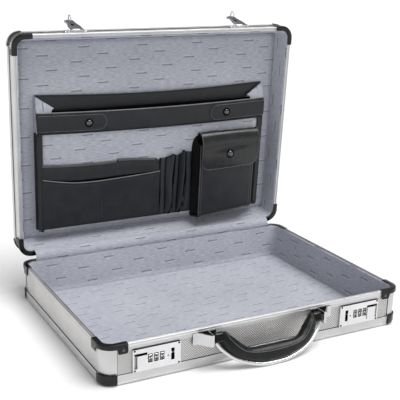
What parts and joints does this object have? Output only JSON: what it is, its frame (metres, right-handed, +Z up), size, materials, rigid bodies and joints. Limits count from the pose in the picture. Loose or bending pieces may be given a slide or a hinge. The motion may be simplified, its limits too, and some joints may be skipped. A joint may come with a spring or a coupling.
{
  "type": "aluminium attache case",
  "caption": "Hard attache case with a hinged lid, swinging padded handle, combination locks with fold-over hasps, a grey fabric lining and a leather organiser in the lid.",
  "frame": {"origin": "middle of the base's underside, on the plane that the case stands on", "axes": "+X to the right along the length, -Y to the front with the locks and the handle, +Z up"},
  "size_m": [0.4532, 0.3995, 0.408],
  "materials": {
    "profile_aluminium": "satin anodised extrusion",
    "patterned_aluminium": "diamond-embossed sheet over a board core",
    "lock_metal": "satin chrome",
    "dial_metal": "polished, numerals filled black",
    "chromed_steel": "bright chrome",
    "hinge_steel": "brushed",
    "black_plastic": "moulded, satin",
    "black_leather": "fine-grained leatherette",
    "lining_fabric": "woven lining with small woven dashes"
  },
  "bodies": {
    "base": {"base_bottom_panel": "patterned_aluminium", "base_front_panel": "patterned_aluminium", "base_back_panel": "patterned_aluminium", "base_left_panel": "patterned_aluminium", "base_right_panel": "patterned_aluminium", "base_rim_profile": "profile_aluminium", "base_edge_profile": "profile_aluminium", "base_lining": "lining_fabric", "hinge_base_leaf": "hinge_steel", "hinge_pin": "hinge_steel", "base_corner_post_front_left": "profile_aluminium", "base_corner_post_front_right": "profile_aluminium", "base_corner_post_back_left": "profile_aluminium", "base_corner_post_back_right": "profile_aluminium", "base_rim_cap_front_left": "black_plastic", "base_rim_cap_front_right": "black_plastic", "base_rim_cap_back_left": "black_plastic", "base_rim_cap_back_right": "black_plastic", "base_foot_cap_front_left": "black_plastic", "base_foot_cap_front_right": "black_plastic", "base_foot_cap_back_left": "black_plastic", "base_foot_cap_back_right": "black_plastic", "lock_plate_left": "lock_metal", "lock_plate_right": "lock_metal", "handle_bracket_left": "chromed_steel", "handle_bracket_right": "chromed_steel"},
    "lid": {"lid_panel": "patterned_aluminium", "lid_wall": "patterned_aluminium", "lid_rim_profile": "profile_aluminium", "lid_edge_profile": "profile_aluminium", "lid_lining": "lining_fabric", "file_pocket": "lining_fabric", "file_pocket_front": "lining_fabric", "card_pocket": "black_leather", "pen_loops": "black_leather", "phone_pocket": "black_leather", "hinge_lid_leaf": "hinge_steel", "lid_rim_cap_front_left": "black_plastic", "lid_rim_cap_front_right": "black_plastic", "lid_rim_cap_back_left": "black_plastic", "lid_rim_cap_back_right": "black_plastic", "lid_edge_cap_front_left": "black_plastic", "lid_edge_cap_front_right": "black_plastic", "lid_edge_cap_back_left": "black_plastic", "lid_edge_cap_back_right": "black_plastic", "hasp_plate_left": "chromed_steel", "hasp_plate_right": "chromed_steel"},
    "handle": {"handle_frame": "profile_aluminium", "handle_grip": "black_leather"},
    "phone_flap": {"phone_flap": "black_leather"},
    "hasp_left": {"hasp_flap_left": "chromed_steel"},
    "lock_slider_left": {"lock_slider_left": "lock_metal"},
    "dial_left_1": {"lock_dial_left_1": "dial_metal"},
    "dial_left_2": {"lock_dial_left_2": "dial_metal"},
    "dial_left_3": {"lock_dial_left_3": "dial_metal"},
    "hasp_right": {"hasp_flap_right": "chromed_steel"},
    "lock_slider_right": {"lock_slider_right": "lock_metal"},
    "dial_right_1": {"lock_dial_right_1": "dial_metal"},
    "dial_right_2": {"lock_dial_right_2": "dial_metal"},
    "dial_right_3": {"lock_dial_right_3": "dial_metal"}
  },
  "joints": [
    {"name": "lid_hinge", "type": "hinge", "parent": "base", "child": "lid", "pos_m": [0, 0.1657, 0.0565], "axis": [1, 0, 0], "range_deg": [0, 86.6]},
    {"name": "handle_swing", "type": "hinge", "parent": "base", "child": "handle", "pos_m": [0, -0.1735, 0.042], "axis": [1, 0, 0], "range_deg": [-85, 30]},
    {"name": "phone_flap_lift", "type": "hinge", "parent": "lid", "child": "phone_flap", "pos_m": [0, 0.16651, 0.22154], "axis": [1, 0, 0], "range_deg": [-80, 0]},
    {"name": "hasp_left_fold", "type": "hinge", "parent": "lid", "child": "hasp_left", "pos_m": [-0.1326, 0.14851, 0.38806], "axis": [1, 0, 0], "range_deg": [0, 168], "stiffness_Nm_per_rad": 0.01},
    {"name": "lock_slider_left_slide", "type": "slide", "parent": "base", "child": "lock_slider_left", "axis": [-1, 0, 0], "range_m": [0, 0.0032], "stiffness_N_per_m": 150},
    {"name": "dial_left_1_turn", "type": "hinge", "parent": "base", "child": "dial_left_1", "pos_m": [-0.1472, -0.1593, 0.029], "axis": [1, 0, 0], "continuous": true},
    {"name": "dial_left_2_turn", "type": "hinge", "parent": "base", "child": "dial_left_2", "pos_m": [-0.1552, -0.1593, 0.029], "axis": [1, 0, 0], "continuous": true},
    {"name": "dial_left_3_turn", "type": "hinge", "parent": "base", "child": "dial_left_3", "pos_m": [-0.1632, -0.1593, 0.029], "axis": [1, 0, 0], "continuous": true},
    {"name": "hasp_right_fold", "type": "hinge", "parent": "lid", "child": "hasp_right", "pos_m": [0.1326, 0.14851, 0.38806], "axis": [1, 0, 0], "range_deg": [0, 168], "stiffness_Nm_per_rad": 0.01},
    {"name": "lock_slider_right_slide", "type": "slide", "parent": "base", "child": "lock_slider_right", "axis": [1, 0, 0], "range_m": [0, 0.0032], "stiffness_N_per_m": 150},
    {"name": "dial_right_1_turn", "type": "hinge", "parent": "base", "child": "dial_right_1", "pos_m": [0.1472, -0.1593, 0.029], "axis": [1, 0, 0], "continuous": true},
    {"name": "dial_right_2_turn", "type": "hinge", "parent": "base", "child": "dial_right_2", "pos_m": [0.1552, -0.1593, 0.029], "axis": [1, 0, 0], "continuous": true},
    {"name": "dial_right_3_turn", "type": "hinge", "parent": "base", "child": "dial_right_3", "pos_m": [0.1632, -0.1593, 0.029], "axis": [1, 0, 0], "continuous": true}
  ]
}
